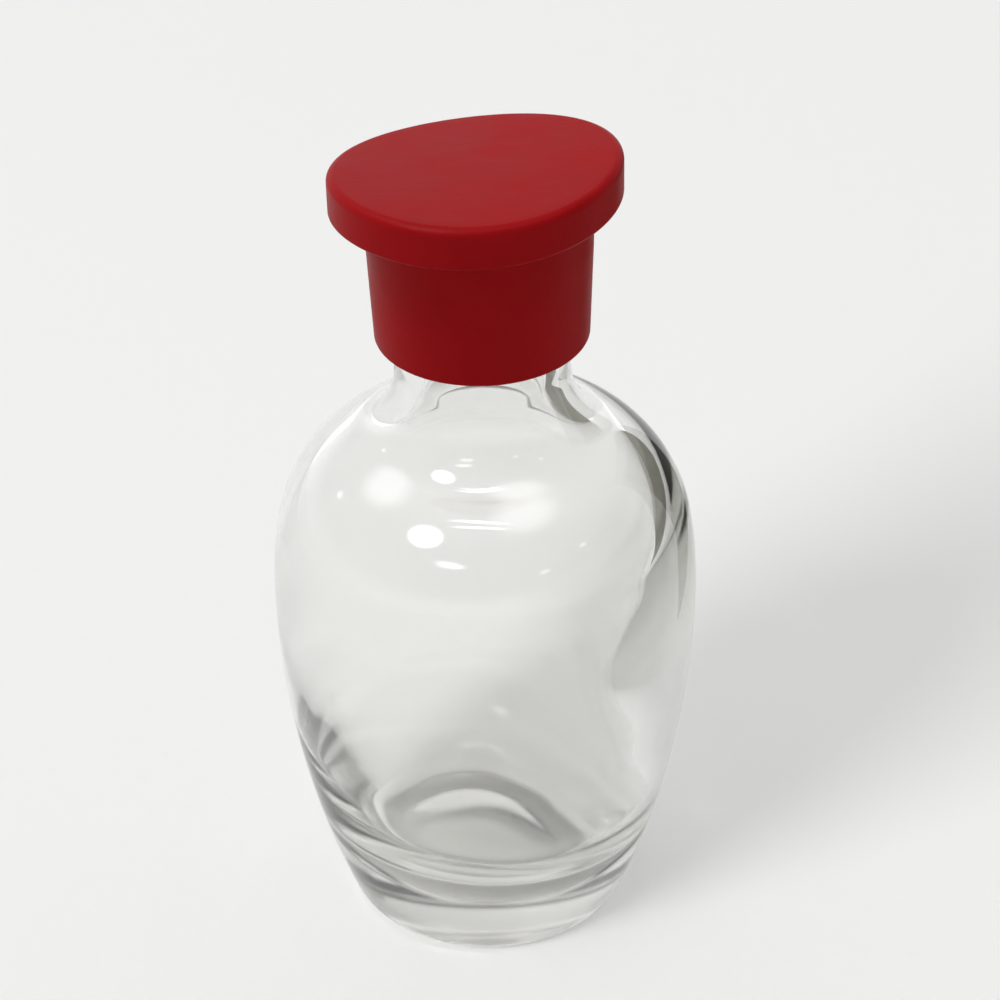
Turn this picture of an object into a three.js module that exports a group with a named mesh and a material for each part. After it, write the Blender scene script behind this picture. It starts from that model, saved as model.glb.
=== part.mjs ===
// A table dispenser for soy sauce: an empty, egg-shaped glass bottle that stands on a thick foot,
// and a moulded red cap whose slanted, slightly bent disc is wider than the skirt under it.
// Millimetres, +Z up. The origin is the middle of the foot, on the table.

import * as THREE from 'three';

// Outside of the bottle, from the foot up
const bodyRadius = 32;          // at the widest ring
const widestHeight = 56.4;      // of the widest ring over the table
const heelRadius = 3;           // rounding between the foot and the flank
const flankRadius = 158;        // long arc from the heel up to the widest ring
const bellyRadius = 67.3;       // arc just over the widest ring
const bellyAngle = 10;          // degrees that the belly arc turns
const shoulderRadius = 21.6;    // tight arc of the shoulder
const neckFilletRadius = 12;    // hollow curve from the shoulder into the neck
const neckRadius = 12.9;
const neckTop = 115;
const lipRadius = 1.4;          // rounding of the mouth, inside and outside

// Inside of the bottle
const wallThickness = 3.4;      // on average
const floorHeight = 7;          // top of the thick base
const floorCornerRadius = 24;   // the hollow ends in a bowl
const boreRadius = 8.9;         // pouring bore in the neck
const boreFilletRadius = 15.4;  // from the inside of the shoulder into the bore

// The blown hollow lies off the axis, so the wall is thicker on one side.
// Each pair is a height and how far the hollow is shifted along X there.
const hollowShifts = [
  [floorHeight, 1.4],
  [36, -2.4],
  [50, -2.6],
  [84, 0],
];

// On that side the wall also bulges a little into the hollow
const bulgeDepth = 0.9;
const bulgeHeight = 48;         // of its middle over the table
const bulgeReach = 18;          // up and down from there

// Underside of the bottle: a flat ring to stand on, round a shallow push-up
const ringInnerRadius = 15.4;
const pushUpHeight = 1.3;

// Cap
const skirtBottomRadius = 15.6;
const skirtTopRadius = 16.4;
const skirtBottomHeight = 100.5;  // over the table
const discRadius = 20.8;
const discTopHeight = 26.7;       // middle of the top face over the bottom of the skirt
const discThickness = 6.3;
const discDish = 0.5;             // the top face is this much hollow in the middle
const discTopRounding = 1.3;
const discBottomRounding = 0.6;
const skirtRounding = 0.4;
const capGap = 0.6;               // between the neck and the bore of the cap
const discSlope = 6.1;            // degrees that the disc is slanted
const slopeDirection = -57;       // degrees round +Z of the way up that slant
const discBend = 0.87;            // how far two opposite edges rise and the other two sink
const bendDirection = 13;         // degrees round +Z of the two edges that rise
const discShift = -0.4;           // of the disc along X
const capLean = -0.74;            // degrees that the cap sits askew, about +Y

// Steps of the curves
const turnSteps = 56;
const flankSteps = 9;
const bellySteps = 2;
const shoulderSteps = 8;
const filletSteps = 6;
const bowlSteps = 9;
const smallSteps = 4;
const edgeSteps = 2;

const radians = THREE.MathUtils.degToRad;

// Points of an arc in the section plane, where x is the radius and y the height.
// The angles are in radians, with zero pointing away from the axis.
function arcPoints(centre, radius, from, to, steps) {
  const points = [];
  for (let i = 0; i <= steps; i += 1) {
    const angle = from + ((to - from) * i) / steps;
    points.push(new THREE.Vector2(centre.x + radius * Math.cos(angle), centre.y + radius * Math.sin(angle)));
  }
  return points;
}

// Centre of an arc that touches a level line or an upright line and the circle round `other`
function centreOnHeight(other, distance, height) {
  const rise = height - other.y;
  return new THREE.Vector2(other.x + Math.sqrt(distance * distance - rise * rise), height);
}

function centreOnRadius(other, distance, radius) {
  const run = radius - other.x;
  return new THREE.Vector2(radius, other.y + Math.sqrt(distance * distance - run * run));
}

function angleTo(from, to) {
  return Math.atan2(to.y - from.y, to.x - from.x);
}

// One side of the glass from its bottom corner up to the neck, as arcs that run into each other.
// `inset` is how far it lies inside the outer surface.
function bodyCurve({ inset, level, cornerRadius, cornerSteps, tubeRadius, filletRadius }) {
  const flankCentre = new THREE.Vector2(bodyRadius - flankRadius, widestHeight);
  const cornerCentre = centreOnHeight(flankCentre, flankRadius - inset - cornerRadius, level + cornerRadius);
  const flankStart = angleTo(flankCentre, cornerCentre);
  const bellyCentre = new THREE.Vector2(bodyRadius - bellyRadius, widestHeight);
  const bellyEnd = radians(bellyAngle);
  const shoulderCentre = new THREE.Vector2(bellyRadius - shoulderRadius, 0)
    .rotateAround(new THREE.Vector2(0, 0), bellyEnd)
    .add(bellyCentre);
  const tightRadius = shoulderRadius - inset;
  const filletCentre = centreOnRadius(shoulderCentre, tightRadius + filletRadius, tubeRadius + filletRadius);
  const shoulderEnd = angleTo(shoulderCentre, filletCentre);
  return [
    ...arcPoints(cornerCentre, cornerRadius, -Math.PI / 2, flankStart, cornerSteps),
    ...arcPoints(flankCentre, flankRadius - inset, flankStart, 0, flankSteps).slice(1),
    ...arcPoints(bellyCentre, bellyRadius - inset, 0, bellyEnd, bellySteps).slice(1),
    ...arcPoints(shoulderCentre, tightRadius, bellyEnd, shoulderEnd, shoulderSteps).slice(1),
    ...arcPoints(filletCentre, filletRadius, shoulderEnd + Math.PI, Math.PI, filletSteps).slice(1),
  ];
}

// The push-up under the foot is a shallow dome, from its middle out to the standing ring
function pushUpCurve() {
  const domeRadius = (ringInnerRadius ** 2 + pushUpHeight ** 2) / (2 * pushUpHeight);
  const centre = new THREE.Vector2(0, pushUpHeight - domeRadius);
  const rim = new THREE.Vector2(ringInnerRadius, 0);
  return arcPoints(centre, domeRadius, Math.PI / 2, angleTo(centre, rim), smallSteps);
}

// The whole section of the bottle, and how many of its points lie before the hollow
function bottleSection() {
  const outside = bodyCurve({
    inset: 0,
    level: 0,
    cornerRadius: heelRadius,
    cornerSteps: smallSteps,
    tubeRadius: neckRadius,
    filletRadius: neckFilletRadius,
  });
  const inside = bodyCurve({
    inset: wallThickness,
    level: floorHeight,
    cornerRadius: floorCornerRadius,
    cornerSteps: bowlSteps,
    tubeRadius: boreRadius,
    filletRadius: boreFilletRadius,
  });
  const lipHeight = neckTop - lipRadius;
  const outerLip = new THREE.Vector2(neckRadius - lipRadius, lipHeight);
  const innerLip = new THREE.Vector2(boreRadius + lipRadius, lipHeight);
  const beforeHollow = [
    ...pushUpCurve(),
    ...outside,
    ...arcPoints(outerLip, lipRadius, 0, Math.PI / 2, smallSteps),
    ...arcPoints(innerLip, lipRadius, Math.PI / 2, Math.PI, smallSteps),
  ];
  return {
    points: [...beforeHollow, ...inside.reverse(), new THREE.Vector2(0, floorHeight)],
    hollowStart: beforeHollow.length,
  };
}

// Between two given heights the shift runs smoothly from one value to the next
function hollowShift(height) {
  let shift = hollowShifts[0][1];
  for (let i = 1; i < hollowShifts.length; i += 1) {
    const [low, before] = hollowShifts[i - 1];
    const [high, after] = hollowShifts[i];
    shift += (after - before) * THREE.MathUtils.smoothstep(height, low, high);
  }
  return shift;
}

// How far the wall bulges inwards at a point of the hollow, most on the +X side
function wallBulge(point) {
  const reach = Math.min(Math.abs(point.z - bulgeHeight) / bulgeReach, 1);
  const towards = Math.max(Math.cos(Math.atan2(point.y, point.x)), 0);
  return bulgeDepth * 0.5 * (1 + Math.cos(Math.PI * reach)) * towards * towards;
}

// Gives the hollow its bulge and moves it off the axis. The section repeats at every step of the turn.
function shapeHollow(geometry, section) {
  const position = geometry.attributes.position;
  const point = new THREE.Vector3();
  for (let i = 0; i < position.count; i += 1) {
    if (i % section.points.length >= section.hollowStart) {
      point.fromBufferAttribute(position, i);
      const radius = Math.hypot(point.x, point.y);
      const share = radius > 0 ? 1 - wallBulge(point) / radius : 1;
      position.setXY(i, point.x * share + hollowShift(point.z), point.y * share);
    }
  }
}

// The section of the cap stands on the bottom of its skirt and has a flat, level disc
function capSection() {
  const boreRadiusOfCap = neckRadius + capGap;
  const ceiling = neckTop + capGap - skirtBottomHeight;
  const underside = discTopHeight - discThickness;
  const skirtCorner = new THREE.Vector2(skirtBottomRadius - skirtRounding, skirtRounding);
  const lowerEdge = new THREE.Vector2(discRadius - discBottomRounding, underside + discBottomRounding);
  const upperEdge = new THREE.Vector2(discRadius - discTopRounding, discTopHeight - discTopRounding);
  const dishRadius = (upperEdge.x ** 2 + discDish ** 2) / (2 * discDish);
  const dishCentre = new THREE.Vector2(0, discTopHeight - discDish + dishRadius);
  const dishStart = angleTo(dishCentre, new THREE.Vector2(upperEdge.x, discTopHeight));
  return [
    new THREE.Vector2(0, ceiling),
    new THREE.Vector2(boreRadiusOfCap, ceiling),
    new THREE.Vector2(boreRadiusOfCap, 0),
    ...arcPoints(skirtCorner, skirtRounding, -Math.PI / 2, 0, edgeSteps),
    new THREE.Vector2(skirtTopRadius, underside),
    ...arcPoints(lowerEdge, discBottomRounding, -Math.PI / 2, 0, edgeSteps),
    ...arcPoints(upperEdge, discTopRounding, 0, Math.PI / 2, smallSteps),
    ...arcPoints(dishCentre, dishRadius, dishStart, -Math.PI / 2, smallSteps).slice(1),
  ];
}

// How far a point of the disc lies over the level one
function discRise(x, y) {
  const slope = Math.tan(radians(discSlope));
  const up = radians(slopeDirection);
  const bend = 2 * (Math.atan2(y, x) - radians(bendDirection));
  const reach = Math.hypot(x, y) / discRadius;
  return slope * (x * Math.cos(up) + y * Math.sin(up)) + discBend * reach * reach * Math.cos(bend);
}

// Slants and bends everything from the ceiling of the cap up, more and more up to the disc
function bendDisc(geometry) {
  const start = neckTop + capGap - skirtBottomHeight;
  const full = discTopHeight - discThickness;
  const position = geometry.attributes.position;
  for (let i = 0; i < position.count; i += 1) {
    const share = THREE.MathUtils.clamp((position.getZ(i) - start) / (full - start), 0, 1);
    const rise = share * discRise(position.getX(i), position.getY(i));
    position.setZ(i, position.getZ(i) + rise);
    position.setX(i, position.getX(i) + share * discShift);
  }
}

// Turns a section round the upright axis
function turned(section) {
  const geometry = new THREE.LatheGeometry(section, turnSteps);
  geometry.rotateX(Math.PI / 2);
  return geometry;
}

function makeBottle() {
  const glass = new THREE.MeshStandardMaterial({
    color: '#d3d5d1',
    roughness: 0.04,
    metalness: 0,
    transparent: true,
    opacity: 0.35,
  });
  const section = bottleSection();
  const geometry = turned(section.points);
  shapeHollow(geometry, section);
  geometry.computeVertexNormals();
  const bottle = new THREE.Mesh(geometry, glass);
  bottle.name = 'bottle';
  return bottle;
}

function makeCap() {
  const redPlastic = new THREE.MeshStandardMaterial({ color: '#9c1a1e', roughness: 0.32, metalness: 0 });
  const geometry = turned(capSection());
  bendDisc(geometry);
  geometry.computeVertexNormals();
  const cap = new THREE.Mesh(geometry, redPlastic);
  cap.name = 'cap';
  cap.position.z = skirtBottomHeight;
  cap.rotation.y = radians(capLean);
  return cap;
}

const dispenser = new THREE.Group();
dispenser.add(makeBottle(), makeCap());

export default dispenser;
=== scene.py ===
import math

import bpy
from mathutils import Matrix, Vector


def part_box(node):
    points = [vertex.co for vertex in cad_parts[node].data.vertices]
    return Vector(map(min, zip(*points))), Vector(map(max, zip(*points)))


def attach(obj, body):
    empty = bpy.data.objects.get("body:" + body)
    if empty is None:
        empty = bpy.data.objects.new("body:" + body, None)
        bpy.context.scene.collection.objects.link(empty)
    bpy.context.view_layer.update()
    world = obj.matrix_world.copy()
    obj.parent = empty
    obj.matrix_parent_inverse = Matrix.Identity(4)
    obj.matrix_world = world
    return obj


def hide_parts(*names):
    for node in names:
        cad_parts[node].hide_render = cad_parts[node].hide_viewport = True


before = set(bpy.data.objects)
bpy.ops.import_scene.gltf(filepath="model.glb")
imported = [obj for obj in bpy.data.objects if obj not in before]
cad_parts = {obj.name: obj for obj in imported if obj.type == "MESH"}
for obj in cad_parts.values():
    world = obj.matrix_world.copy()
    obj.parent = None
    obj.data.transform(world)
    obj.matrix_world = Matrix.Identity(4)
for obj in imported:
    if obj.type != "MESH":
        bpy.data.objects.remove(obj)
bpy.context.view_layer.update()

# An empty table dispenser for soy sauce: a clear glass bottle with a red moulded cap.
# Sizes in the dictionaries are millimetres and degrees unless a note says otherwise.

mm = 0.001
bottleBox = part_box("bottle")


def linearColour(hexCode):
    values = []
    for i in (0, 2, 4):
        c = int(hexCode[i:i + 2], 16) / 255
        values.append(c / 12.92 if c <= 0.04045 else ((c + 0.055) / 1.055) ** 2.4)
    return (*values, 1.0)


def addNode(tree, kind, inputs=None, **settings):
    node = tree.nodes.new(kind)
    for name, value in settings.items():
        setattr(node, name, value)
    for name, value in (inputs or {}).items():
        if isinstance(value, bpy.types.NodeSocket):
            tree.links.new(value, node.inputs[name])
        else:
            node.inputs[name].default_value = value
    return node


# Sections: lists of (radius, height) in millimetres

smoothness = {
    "turn": 2.5,      # largest turn between two points of a section
    "run": 1.3,       # largest run
    "least": 0.0001,  # points closer than this are one
}


def arc(centre, radius, start, end):
    steps = max(2, math.ceil(max(abs(math.degrees(end - start)) / smoothness["turn"],
                                 abs(end - start) * radius / smoothness["run"])))
    return [(centre[0] + radius * math.cos(start + (end - start) * i / steps),
             centre[1] + radius * math.sin(start + (end - start) * i / steps)) for i in range(steps + 1)]


def straight(start, end):
    steps = max(1, math.ceil(math.dist(start, end) / smoothness["run"]))
    return [(start[0] + (end[0] - start[0]) * i / steps,
             start[1] + (end[1] - start[1]) * i / steps) for i in range(steps + 1)]


def joined(*runs):
    points = []
    for run in runs:
        for p in run:
            if not points or math.dist(points[-1], p) > smoothness["least"]:
                points.append(p)
    return points


def angleTo(start, end):
    return math.atan2(end[1] - start[1], end[0] - start[0])


bottleShape = {
    "bodyRadius": bottleBox[1].x / mm,
    "neckTop": bottleBox[1].z / mm,
    "widestHeight": 56.4,
    "heelRadius": 3.0,
    "flankRadius": 158.0,
    "bellyRadius": 67.3,
    "bellyAngle": 10.0,
    "shoulderRadius": 21.6,
    "neckFilletRadius": 12.0,
    "neckRadius": 12.9,
    "lipRadius": 1.4,
    "wall": 3.4,
    "floorHeight": 7.0,
    "floorCornerRadius": 24.0,
    "boreRadius": 8.9,
    "boreFilletRadius": 15.4,
    "hollowShifts": ((7.0, 1.4), (36.0, -2.4), (50.0, -2.6), (84.0, 0.0)),
    "dentDepth": 0.9,
    "dentHeight": 48.0,
    "dentReach": 18.0,
    "ringInnerRadius": 15.4,
    "pushUpHeight": 1.3,
    "turnSteps": 192,
    "waveHeight": 0.35,
    "waveSize": 26.0,
    "waveFades": ((12.0, 14.0), (76.0, 10.0)),  # start and length: none on the floor, none in the bore
    "seed": 4.0,
}


def bodyCurve(inset, level, cornerRadius, tubeRadius, filletRadius):
    s = bottleShape
    flank = (s["bodyRadius"] - s["flankRadius"], s["widestHeight"])
    cornerHeight = level + cornerRadius
    reach = s["flankRadius"] - inset - cornerRadius
    corner = (flank[0] + math.sqrt(reach ** 2 - (cornerHeight - flank[1]) ** 2), cornerHeight)
    flankStart = angleTo(flank, corner)
    belly = (s["bodyRadius"] - s["bellyRadius"], s["widestHeight"])
    bellyEnd = math.radians(s["bellyAngle"])
    gap = s["bellyRadius"] - s["shoulderRadius"]
    shoulder = (belly[0] + gap * math.cos(bellyEnd), belly[1] + gap * math.sin(bellyEnd))
    tight = s["shoulderRadius"] - inset
    filletX = tubeRadius + filletRadius
    fillet = (filletX, shoulder[1] + math.sqrt((tight + filletRadius) ** 2 - (filletX - shoulder[0]) ** 2))
    shoulderEnd = angleTo(shoulder, fillet)
    return joined(
        arc(corner, cornerRadius, -math.pi / 2, flankStart),
        arc(flank, s["flankRadius"] - inset, flankStart, 0),
        arc(belly, s["bellyRadius"] - inset, 0, bellyEnd),
        arc(shoulder, tight, bellyEnd, shoulderEnd),
        arc(fillet, filletRadius, shoulderEnd + math.pi, math.pi),
    )


def bottleSection():
    s = bottleShape
    dome = (s["ringInnerRadius"] ** 2 + s["pushUpHeight"] ** 2) / (2 * s["pushUpHeight"])
    domeCentre = (0, s["pushUpHeight"] - dome)
    pushUp = arc(domeCentre, dome, math.pi / 2, angleTo(domeCentre, (s["ringInnerRadius"], 0)))
    outside = bodyCurve(0, 0, s["heelRadius"], s["neckRadius"], s["neckFilletRadius"])
    inside = bodyCurve(s["wall"], s["floorHeight"], s["floorCornerRadius"], s["boreRadius"],
                       s["boreFilletRadius"])[::-1]
    lipHeight = s["neckTop"] - s["lipRadius"]
    outer = joined(
        pushUp,
        straight(pushUp[-1], outside[0]),
        outside,
        straight(outside[-1], (s["neckRadius"], lipHeight)),
        arc((s["neckRadius"] - s["lipRadius"], lipHeight), s["lipRadius"], 0, math.pi / 2),
    )
    inner = joined(
        straight(outer[-1], (s["boreRadius"] + s["lipRadius"], s["neckTop"])),
        arc((s["boreRadius"] + s["lipRadius"], lipHeight), s["lipRadius"], math.pi / 2, math.pi),
        straight((s["boreRadius"], lipHeight), inside[0]),
        inside,
        straight(inside[-1], (0, s["floorHeight"])),
    )
    whole = joined(outer, inner)
    hollow = whole[len(outer):]
    shares = [0.0] * len(outer) + [waveShare(p) for p in hollow]
    shifts = [0.0] * len(outer) + [hollowShift(p) for p in hollow]
    dents = [0.0] * len(outer) + [hollowDent(p) for p in hollow]
    return whole, {"waveShare": shares, "sideShift": shifts, "sideDent": dents}


def waveShare(point):
    (lowStart, lowLength), (highStart, highLength) = bottleShape["waveFades"]
    low = (point[1] - lowStart) / lowLength
    high = (highStart + highLength - point[1]) / highLength
    return min(max(min(low, high), 0.0), 1.0)


def hollowShift(point):
    knots = bottleShape["hollowShifts"]  # the blown hollow lies off the axis: thick glass on the right
    for (low, start), (high, end) in zip(knots, knots[1:]):
        if point[1] <= high:
            share = min(max((point[1] - low) / (high - low), 0.0), 1.0)
            return (start + (end - start) * share * share * (3 - 2 * share)) * mm
    return knots[-1][1] * mm


def hollowDent(point):
    # the thick wall also bulges a little into the hollow
    reach = abs(point[1] - bottleShape["dentHeight"]) / bottleShape["dentReach"]
    return -bottleShape["dentDepth"] * mm * (1 + math.cos(math.pi * min(reach, 1.0))) / 2


# Geometry Nodes: turns a section round Z, waves its inner wall and moves its hollow off the axis

turning = {
    "closing": 0.002,    # points closer than this are merged
    "sharpAngle": 40.0,  # edges bent more than this stay sharp
}


def makeTurningTree():
    tree = bpy.data.node_groups.new("turnedSection", "GeometryNodeTree")
    sockets = (
        ("Section", "INPUT", "NodeSocketGeometry"),
        ("Turn Steps", "INPUT", "NodeSocketInt"),
        ("Wave Height", "INPUT", "NodeSocketFloat"),
        ("Wave Size", "INPUT", "NodeSocketFloat"),
        ("Seed", "INPUT", "NodeSocketFloat"),
        ("Material", "INPUT", "NodeSocketMaterial"),
        ("Mesh", "OUTPUT", "NodeSocketGeometry"),
    )
    for name, way, kind in sockets:
        tree.interface.new_socket(name, in_out=way, socket_type=kind)
    given = addNode(tree, "NodeGroupInput").outputs
    position = addNode(tree, "GeometryNodeInputPosition").outputs[0]
    size = addNode(tree, "GeometryNodeAttributeDomainSize", {"Geometry": given["Section"]})
    columns = addNode(tree, "ShaderNodeMath", {0: given["Turn Steps"], 1: 1.0}, operation="ADD")
    grid = addNode(tree, "GeometryNodeMeshGrid", {
        "Size X": 1.0, "Size Y": 1.0,
        "Vertices X": columns.outputs[0], "Vertices Y": size.outputs["Point Count"]})
    place = addNode(tree, "ShaderNodeSeparateXYZ", {0: position})
    turn = addNode(tree, "ShaderNodeMath", {0: place.outputs["X"], 1: 0.5}, operation="ADD")
    angle = addNode(tree, "ShaderNodeMath", {0: turn.outputs[0], 1: math.tau}, operation="MULTIPLY")
    along = addNode(tree, "ShaderNodeMath", {0: place.outputs["Y"], 1: 0.5}, operation="ADD")
    last = addNode(tree, "ShaderNodeMath", {0: size.outputs["Point Count"], 1: 1.0}, operation="SUBTRACT")
    row = addNode(tree, "ShaderNodeMath", {0: along.outputs[0], 1: last.outputs[0]}, operation="MULTIPLY")
    index = addNode(tree, "FunctionNodeFloatToInt", {0: row.outputs[0]}, rounding_mode="ROUND")

    def mark(name):
        named = addNode(tree, "GeometryNodeInputNamedAttribute", {"Name": name}).outputs[0]
        sample = addNode(tree, "GeometryNodeSampleIndex", {
            "Geometry": given["Section"], "Value": named, "Index": index.outputs[0]}, data_type="FLOAT")
        return sample.outputs[0]

    point = addNode(tree, "GeometryNodeSampleIndex", {
        "Geometry": given["Section"], "Value": position, "Index": index.outputs[0]},
        data_type="FLOAT_VECTOR")
    cosine = addNode(tree, "ShaderNodeMath", {0: angle.outputs[0]}, operation="COSINE")
    towards = addNode(tree, "ShaderNodeMath", {0: cosine.outputs[0], 1: 0.0}, operation="MAXIMUM")
    squared = addNode(tree, "ShaderNodeMath", {0: towards.outputs[0], 1: 2.0}, operation="POWER")
    dent = addNode(tree, "ShaderNodeMath", {0: squared.outputs[0], 1: mark("sideDent")},
                   operation="MULTIPLY")
    turned = addNode(tree, "ShaderNodeVectorRotate", {
        "Vector": point.outputs[0], "Angle": angle.outputs[0]}, rotation_type="Z_AXIS")
    scale = addNode(tree, "ShaderNodeMath", {0: 1.0, 1: given["Wave Size"]}, operation="DIVIDE")
    noise = addNode(tree, "ShaderNodeTexNoise", {
        "Vector": turned.outputs[0], "W": given["Seed"], "Scale": scale.outputs[0], "Detail": 1.0},
        noise_dimensions="4D")
    centred = addNode(tree, "ShaderNodeMath", {0: noise.outputs[0], 1: 0.5}, operation="SUBTRACT")
    wave = addNode(tree, "ShaderNodeMath", {0: centred.outputs[0], 1: given["Wave Height"]},
                   operation="MULTIPLY")
    faded = addNode(tree, "ShaderNodeMath", {0: wave.outputs[0], 1: mark("waveShare")},
                    operation="MULTIPLY")
    radial = addNode(tree, "ShaderNodeMath", {0: faded.outputs[0], 1: dent.outputs[0]}, operation="ADD")
    outward = addNode(tree, "ShaderNodeVectorRotate", {
        "Vector": (1.0, 0.0, 0.0), "Angle": angle.outputs[0]}, rotation_type="Z_AXIS")
    offset = addNode(tree, "ShaderNodeVectorMath", {0: outward.outputs[0], "Scale": radial.outputs[0]},
                     operation="SCALE")
    sideways = addNode(tree, "ShaderNodeCombineXYZ", {"X": mark("sideShift")})
    moves = addNode(tree, "ShaderNodeVectorMath", {0: offset.outputs[0], 1: sideways.outputs[0]},
                    operation="ADD")
    final = addNode(tree, "ShaderNodeVectorMath", {0: turned.outputs[0], 1: moves.outputs[0]},
                    operation="ADD")
    moved = addNode(tree, "GeometryNodeSetPosition", {
        "Geometry": grid.outputs["Mesh"], "Position": final.outputs[0]})
    closed = addNode(tree, "GeometryNodeMergeByDistance", {
        "Geometry": moved.outputs[0], "Distance": turning["closing"] * mm})
    smooth = addNode(tree, "GeometryNodeSetShadeSmooth", {"Geometry": closed.outputs[0]})
    real = addNode(tree, "GeometryNodeRealizeInstances", {"Geometry": smooth.outputs[0]})
    painted = addNode(tree, "GeometryNodeSetMaterial", {
        "Geometry": real.outputs[0], "Material": given["Material"]})
    addNode(tree, "NodeGroupOutput", {0: painted.outputs[0]})
    return tree


turningTree = makeTurningTree()


def turnedPiece(name, section, marks, material, settings):
    points = [(r * mm, 0.0, z * mm) for r, z in section]
    line = bpy.data.meshes.new(name + "Section")
    line.from_pydata(points, [(i, i + 1) for i in range(len(points) - 1)], [])
    for mark in ("waveShare", "sideShift", "sideDent"):
        values = marks.get(mark, [0.0] * len(points))
        line.attributes.new(mark, "FLOAT", "POINT").data.foreach_set("value", values)
    source = bpy.data.objects.new(name + "Section", line)
    bpy.context.scene.collection.objects.link(source)
    modifier = source.modifiers.new("turn", "NODES")
    modifier.node_group = turningTree
    values = {
        "Turn Steps": settings["turnSteps"],
        "Wave Height": settings.get("waveHeight", 0.0) * mm,
        "Wave Size": settings.get("waveSize", 10.0) * mm,
        "Seed": settings.get("seed", 0.0),
        "Material": material,
    }
    for item in turningTree.interface.items_tree:
        if item.name in values:
            modifier[item.identifier] = values[item.name]
    graph = bpy.context.evaluated_depsgraph_get()
    mesh = bpy.data.meshes.new_from_object(source.evaluated_get(graph))
    bpy.data.objects.remove(source)
    piece = bpy.data.objects.new(name, mesh)
    bpy.context.scene.collection.objects.link(piece)
    mesh.set_sharp_from_angle(angle=math.radians(turning["sharpAngle"]))
    return piece


# Soda-lime glass, blown in a mould and fire-polished: clear, with a faint green-grey cast where it is
# thick. The foot cooled against the mould, so what is seen through it is a little soft.

glassLook = {
    "colour": "fcfcfb",
    "ior": 1.52,
    "footRoughness": 0.12,
    "footHeights": (14.0, 34.0),  # the softness fades out between these
    "absorbed": (0.900, 0.901, 0.890, 1.0),
    "density": 62.0,
}


def makeGlass():
    g = glassLook
    material = bpy.data.materials.new("sodaLimeGlass")
    material.use_nodes = True
    tree = material.node_tree
    tree.nodes.clear()
    place = addNode(tree, "ShaderNodeTexCoord").outputs["Object"]
    height = addNode(tree, "ShaderNodeSeparateXYZ", {0: place}).outputs["Z"]
    roughness = addNode(tree, "ShaderNodeMapRange", {
        "Value": height, "From Min": g["footHeights"][0] * mm, "From Max": g["footHeights"][1] * mm,
        "To Min": g["footRoughness"], "To Max": 0.0})
    shader = addNode(tree, "ShaderNodeBsdfPrincipled", {
        "Base Color": linearColour(g["colour"]), "Roughness": roughness.outputs[0], "IOR": g["ior"],
        "Transmission Weight": 1.0})
    volume = addNode(tree, "ShaderNodeVolumeAbsorption", {"Color": g["absorbed"], "Density": g["density"]})
    addNode(tree, "ShaderNodeOutputMaterial", {"Surface": shader.outputs[0], "Volume": volume.outputs[0]})
    return material


# Polypropylene, injection-moulded in a spark-eroded tool: deep red with a satin gloss. Real grain is
# about 0.1 mm wide, drawn at 0.5 mm so that it shows, and the melt leaves paler and deeper clouds.

plasticLook = {
    "deep": "7a0509",
    "pale": "880a0f",
    "cloudSize": 9.0,
    "grainSize": 0.5,
    "grainHeight": 0.02,
    "flowSize": 5.0,
    "flowHeight": 0.05,
    "cloudRange": (0.3, 0.7),
    "roughness": (0.36, 0.46),
    "ior": 1.49,
    "specular": 0.035,  # the fine grain scatters most of the gloss
}


def makeRedPlastic():
    p = plasticLook
    material = bpy.data.materials.new("mouldedPolypropylene")
    material.use_nodes = True
    tree = material.node_tree
    tree.nodes.clear()
    place = addNode(tree, "ShaderNodeTexCoord").outputs["Object"]
    clouds = addNode(tree, "ShaderNodeTexNoise", {
        "Vector": place, "Scale": 1 / (p["cloudSize"] * mm), "Detail": 3.0})
    colour = addNode(tree, "ShaderNodeMix", {
        0: clouds.outputs[0], 6: linearColour(p["deep"]), 7: linearColour(p["pale"])}, data_type="RGBA")
    roughness = addNode(tree, "ShaderNodeMapRange", {
        "Value": clouds.outputs[0], "From Min": p["cloudRange"][0], "From Max": p["cloudRange"][1],
        "To Min": p["roughness"][0], "To Max": p["roughness"][1]})
    grain = addNode(tree, "ShaderNodeTexNoise", {
        "Vector": place, "Scale": 1 / (p["grainSize"] * mm), "Detail": 2.0})
    flow = addNode(tree, "ShaderNodeTexNoise", {
        "Vector": place, "Scale": 1 / (p["flowSize"] * mm), "Detail": 1.0})
    fine = addNode(tree, "ShaderNodeBump", {"Height": grain.outputs[0], "Distance": p["grainHeight"] * mm})
    relief = addNode(tree, "ShaderNodeBump", {
        "Height": flow.outputs[0], "Distance": p["flowHeight"] * mm, "Normal": fine.outputs[0]})
    shader = addNode(tree, "ShaderNodeBsdfPrincipled", {
        "Base Color": colour.outputs[2], "Roughness": roughness.outputs[0], "IOR": p["ior"],
        "Specular IOR Level": p["specular"], "Normal": relief.outputs[0]})
    addNode(tree, "ShaderNodeOutputMaterial", {"Surface": shader.outputs[0]})
    return material


print("bottle")
section, marks = bottleSection()
bottle = turnedPiece("glassBottle", section, marks, makeGlass(), bottleShape)
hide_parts("bottle")
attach(bottle, "root")

print("cap")
capShape = {
    "skirtBottomRadius": 15.6,
    "skirtTopRadius": 16.4,
    "skirtBottomHeight": 100.5,
    "discRadius": 20.8,
    "discTopHeight": 26.7,
    "discThickness": 6.3,
    "discDish": 0.5,
    "discTopRounding": 1.3,
    "discBottomRounding": 0.6,
    "skirtRounding": 0.4,
    "gap": 0.6,
    "discSlope": 6.1,
    "slopeDirection": -57.0,
    "discBend": 0.87,
    "bendDirection": 13.0,
    "discShift": -0.4,
    "lean": -0.74,
    "turnSteps": 192,
}


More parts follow.
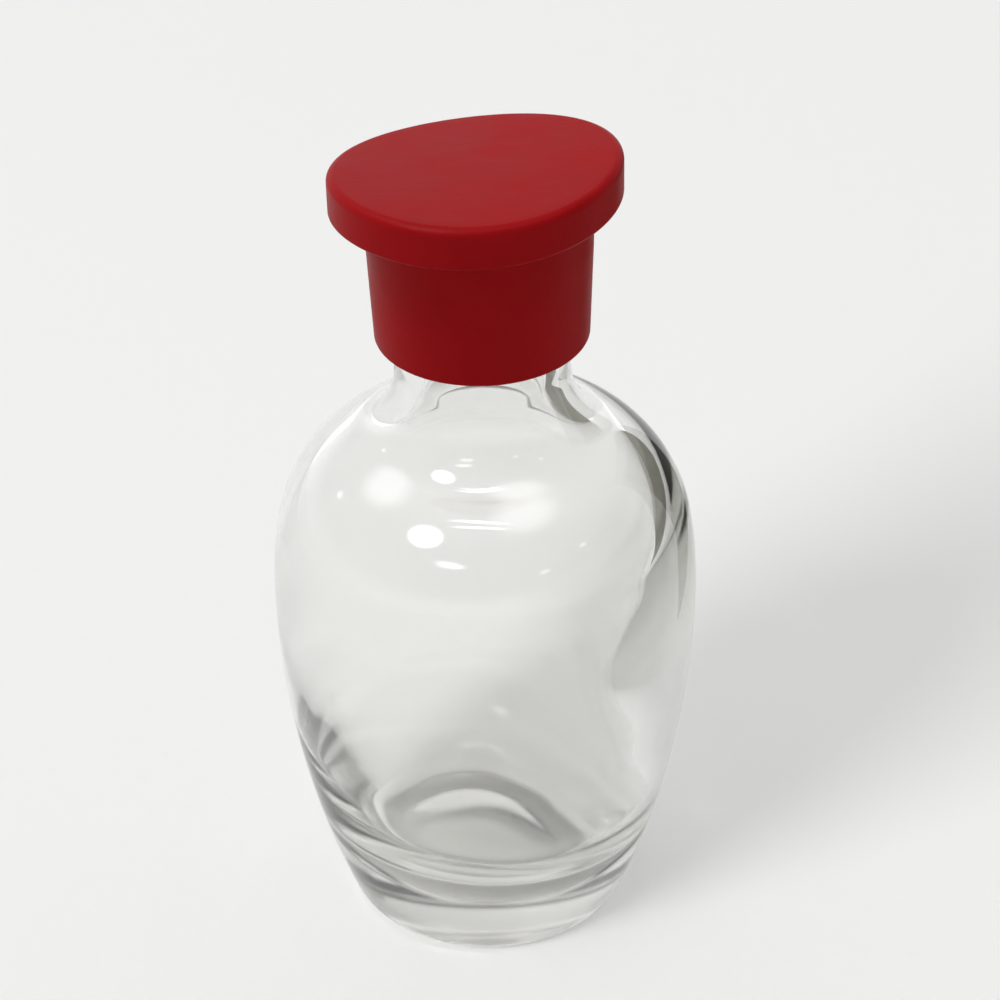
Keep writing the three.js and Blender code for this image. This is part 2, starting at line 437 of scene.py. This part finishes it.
def capSection():
    c = capShape
    bore = bottleShape["neckRadius"] + c["gap"]
    ceiling = bottleShape["neckTop"] + c["gap"] - c["skirtBottomHeight"]
    underside = c["discTopHeight"] - c["discThickness"]
    r1, r2, r3 = c["skirtRounding"], c["discBottomRounding"], c["discTopRounding"]
    edge = c["discRadius"] - r3
    dish = (edge ** 2 + c["discDish"] ** 2) / (2 * c["discDish"])
    dishCentre = (0, c["discTopHeight"] - c["discDish"] + dish)
    return joined(
        straight((0, ceiling), (bore, ceiling)),
        straight((bore, ceiling), (bore, 0)),
        arc((c["skirtBottomRadius"] - r1, r1), r1, -math.pi / 2, 0),
        straight((c["skirtBottomRadius"], r1), (c["skirtTopRadius"], underside)),
        straight((c["skirtTopRadius"], underside), (c["discRadius"] - r2, underside)),
        arc((c["discRadius"] - r2, underside + r2), r2, -math.pi / 2, 0),
        straight((c["discRadius"], underside + r2), (c["discRadius"], c["discTopHeight"] - r3)),
        arc((edge, c["discTopHeight"] - r3), r3, 0, math.pi / 2),
        arc(dishCentre, dish, angleTo(dishCentre, (edge, c["discTopHeight"])), -math.pi / 2),
    )


def discRise(x, y):
    c = capShape
    up = math.radians(c["slopeDirection"])
    bend = 2 * (math.atan2(y, x) - math.radians(c["bendDirection"]))
    reach = math.hypot(x, y) / c["discRadius"]
    return (math.tan(math.radians(c["discSlope"])) * (x * math.cos(up) + y * math.sin(up))
            + c["discBend"] * reach ** 2 * math.cos(bend))


def makeCap():
    c = capShape
    points = capSection()
    cap = turnedPiece("redCap", points, {}, makeRedPlastic(), c)
    start = bottleShape["neckTop"] + c["gap"] - c["skirtBottomHeight"]
    full = c["discTopHeight"] - c["discThickness"]
    for vertex in cap.data.vertices:
        x, y, z = (v / mm for v in vertex.co)
        share = min(max((z - start) / (full - start), 0.0), 1.0)
        vertex.co = Vector((x + share * c["discShift"], y, z + share * discRise(x, y))) * mm
    cap.data.transform(Matrix.Translation((0, 0, c["skirtBottomHeight"] * mm))
                       @ Matrix.Rotation(math.radians(c["lean"]), 4, "Y"))
    return cap


cap = makeCap()
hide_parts("cap")
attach(cap, "root")

print("stage")
stageRoughness = 0.9


def stagePiece(name, corners, paint, colour, specular):
    mesh = bpy.data.meshes.new(name)
    mesh.from_pydata([Vector(c) * mm for c in corners], [], [(0, 1, 2, 3)])
    piece = bpy.data.objects.new(name, mesh)
    bpy.context.scene.collection.objects.link(piece)
    material = bpy.data.materials.new(paint)
    material.use_nodes = True
    shader = material.node_tree.nodes["Principled BSDF"]
    shader.inputs["Base Color"].default_value = linearColour(colour)
    shader.inputs["Roughness"].default_value = stageRoughness
    shader.inputs["Specular IOR Level"].default_value = specular
    mesh.materials.append(material)
    return piece


# A pale matt floor just under the foot
floorShape = {
    "half": 6000.0,
    "drop": 0.2,
    "colour": "ececeb",
    "specular": 0.1,
}


def makeFloor():
    f = floorShape
    ways = ((-1, -1), (1, -1), (1, 1), (-1, 1))
    corners = [(x * f["half"], y * f["half"], -f["drop"]) for x, y in ways]
    stagePiece("floor", corners, "paleFloor", f["colour"], f["specular"])


makeFloor()

# Painted shade: a grey card out of the camera's view at the right darkens the band at the right shoulder
# of the glass, in place of the shade that falls there
shadeCardShape = {
    "near": (98.0, 36.0),
    "far": (110.0, 170.0),
    "height": 130.0,
    # grey of the painted shade that the glass shows at its right shoulder
    "colour": "74746a",
    "specular": 0.5,
}


def makeShadeCard():
    f = shadeCardShape
    corners = ((*f["near"], 0.0), (*f["far"], 0.0), (*f["far"], f["height"]), (*f["near"], f["height"]))
    shadeCard = stagePiece("paintedShadeCard", corners, "paintedShadeGrey", f["colour"], f["specular"])
    shadeCard.visible_camera = False  # only the glass shows it
    shadeCard.visible_diffuse = False
    shadeCard.visible_shadow = False


makeShadeCard()

cameraView = {
    "elevation": 34.2,
    "roll": -0.56,
    "distance": 448.6,
    "aim": (2.33, 0.0, 70.84),
    "lens": 108.0,
    "sensor": 36.0,
    "clip": (0.01, 50.0),  # metres
}


def makeCamera():
    v = cameraView
    e = math.radians(v["elevation"])
    back = Vector((0.0, -math.cos(e), math.sin(e)))
    aim = Vector(v["aim"])
    data = bpy.data.cameras.new("camera")
    data.sensor_width = v["sensor"]
    data.lens = v["lens"]
    data.clip_start, data.clip_end = v["clip"]
    camera = bpy.data.objects.new("camera", data)
    right = Vector((1.0, 0.0, 0.0))
    up = back.cross(right)
    turn = Matrix.Rotation(math.radians(v["roll"]), 3, back)
    columns = Matrix((turn @ right, turn @ up, back)).transposed().to_4x4()
    camera.matrix_world = Matrix.Translation((aim + back * v["distance"]) * mm) @ columns
    bpy.context.scene.collection.objects.link(camera)
    bpy.context.scene.camera = camera


makeCamera()

studio = {
    "horizonGlow": 0.75,          # pale all round, so that every view has a pale backdrop
    "wallGlow": (0.18, 0.62),     # darkest and lightest side of the room over it
    "lightSide": (-0.55, 0.83, 0.0),
    "wallHeights": (6.0, 18.0),   # degrees over which the backdrop runs into the walls
    "ceilingHeights": (50.0, 75.0),
    "ceilingGain": 1.6,
    "lampDistance": 6.0,          # metres
    "lampAim": 70.0,              # height that the lamps are aimed at
    "lampCore": 0.3,              # share of a glint's width before its edge begins to fade
}

# Direction, width and height in degrees, radiance and use of each lamp. A key and a fill light the
# floor, and only the fill also shines through the glass. Glints show on the outer skin of the glass
# and sparks on the inner one too. The cap has a lamp of its own.
lamps = {
    "mainLamp": ((-0.620, -0.560, 0.520), 24.0, 24.0, 4.4, "key"),
    "mainFill": ((-0.620, -0.560, 0.520), 24.0, 24.0, 2.8, "fill"),
    "capLamp": ((-0.430, -0.020, 0.900), 36.0, 36.0, 4.6, "cap"),
    "mainGlint": ((-0.459, -0.374, 0.806), 20.0, 20.0, 26.0, "glint"),
    "mainSpark": ((-0.459, -0.374, 0.806), 4.0, 4.0, 30.0, "spark"),
    "frontStrip": ((-0.296, -0.709, 0.640), 21.0, 6.0, 4.0, "spark"),
    "ceilingTube": ((-0.037, -0.248, 0.968), 32.0, 3.5, 8.0, "spark"),
    "leftGlow": ((-0.573, 0.259, 0.777), 34.0, 30.0, 2.2, "glint"),
    "topGlow": ((0.279, -0.139, 0.950), 42.0, 34.0, 2.2, "glint"),
    "rightSpot": ((0.511, -0.707, 0.489), 8.0, 4.0, 3.0, "glint"),
    "sideSpot": ((0.756, -0.338, 0.560), 6.0, 4.0, 3.0, "glint"),
    "leftSpot": ((-0.822, 0.370, 0.434), 6.0, 6.0, 2.5, "glint"),
}


def degreeSine(angle):
    return math.sin(math.radians(angle))


def makeSky():
    world = bpy.data.worlds.new("studioSky")
    world.use_nodes = True
    tree = world.node_tree
    tree.nodes.clear()
    away = addNode(tree, "ShaderNodeTexCoord").outputs["Generated"]
    rise = addNode(tree, "ShaderNodeSeparateXYZ", {0: away}).outputs["Z"]
    side = addNode(tree, "ShaderNodeVectorMath", {0: away, 1: studio["lightSide"]},
                   operation="DOT_PRODUCT")
    walls = addNode(tree, "ShaderNodeMapRange", {
        "Value": side.outputs["Value"], "From Min": -1.0, "From Max": 1.0,
        "To Min": studio["wallGlow"][0], "To Max": studio["wallGlow"][1]})
    ceiling = addNode(tree, "ShaderNodeMapRange", {
        "Value": rise, "From Min": degreeSine(studio["ceilingHeights"][0]),
        "From Max": degreeSine(studio["ceilingHeights"][1]),
        "To Min": 1.0, "To Max": studio["ceilingGain"]})
    room = addNode(tree, "ShaderNodeMath", {0: walls.outputs[0], 1: ceiling.outputs[0]},
                   operation="MULTIPLY")
    share = addNode(tree, "ShaderNodeMapRange", {
        "Value": rise, "From Min": degreeSine(studio["wallHeights"][0]),
        "From Max": degreeSine(studio["wallHeights"][1])}, interpolation_type="SMOOTHSTEP")
    glow = addNode(tree, "ShaderNodeMix", {
        0: share.outputs[0], 2: studio["horizonGlow"], 3: room.outputs[0]})
    sky = addNode(tree, "ShaderNodeBackground", {"Color": glow.outputs[0], "Strength": 1.0})
    addNode(tree, "ShaderNodeOutputWorld", {"Surface": sky.outputs[0]})
    bpy.context.scene.world = world


def softenEdge(data):
    # full in the middle of the lamp and nothing at its rim
    data.use_nodes = True
    tree = data.node_tree
    place = addNode(tree, "ShaderNodeNewGeometry").outputs["Parametric"]
    across = addNode(tree, "ShaderNodeVectorMath", {0: place, 1: (1.0, 1.0, 0.0)},
                     operation="MULTIPLY")
    off = addNode(tree, "ShaderNodeVectorMath", {0: across.outputs[0], 1: (0.5, 0.5, 0.0)},
                  operation="DISTANCE")
    fall = addNode(tree, "ShaderNodeMapRange", {
        "Value": off.outputs["Value"], "From Min": 0.5, "From Max": studio["lampCore"] / 2,
        "To Min": 0.0, "To Max": 1.0}, interpolation_type="SMOOTHSTEP")
    tree.links.new(fall.outputs[0], tree.nodes["Emission"].inputs["Strength"])


def makeLamp(name, direction, width, height, radiance, use):
    far = studio["lampDistance"]
    data = bpy.data.lights.new(name, "AREA")
    data.shape = "ELLIPSE"
    data.size = 2 * far * math.tan(math.radians(width / 2))
    data.size_y = 2 * far * math.tan(math.radians(height / 2))
    data.energy = radiance * math.pi * (math.pi / 4 * data.size * data.size_y)
    lamp = bpy.data.objects.new(name, data)
    away = Vector(direction).normalized()
    turn = away.to_track_quat("Z", "Y").to_matrix().to_4x4()
    lamp.matrix_world = Matrix.Translation(away * far + Vector((0, 0, studio["lampAim"] * mm))) @ turn
    lamp.visible_glossy = use in ("glint", "spark")
    lamp.visible_diffuse = use in ("key", "fill", "cap")
    lamp.visible_transmission = use in ("fill", "spark")
    if use in ("key", "fill", "cap"):
        aimed = bpy.data.collections.new(name + "Aim")  # a key or fill leaves the cap out
        aimed.objects.link(cap)
        capState = "INCLUDE" if use == "cap" else "EXCLUDE"
        aimed.collection_objects[0].light_linking.link_state = capState
        lamp.light_linking.receiver_collection = aimed
    else:
        softenEdge(data)
    bpy.context.scene.collection.objects.link(lamp)


makeSky()
for name, settings in lamps.items():
    makeLamp(name, *settings)

scene = bpy.context.scene
scene.view_settings.view_transform = "Standard"
scene.view_settings.exposure = 0.72
scene.cycles.max_bounces = 12
scene.cycles.diffuse_bounces = 2
scene.cycles.transmission_bounces = 10
scene.cycles.glossy_bounces = 10
scene.cycles.use_light_tree = False
scene.cycles.sample_clamp_indirect = 0.0
scene.cycles.blur_glossy = 0.0
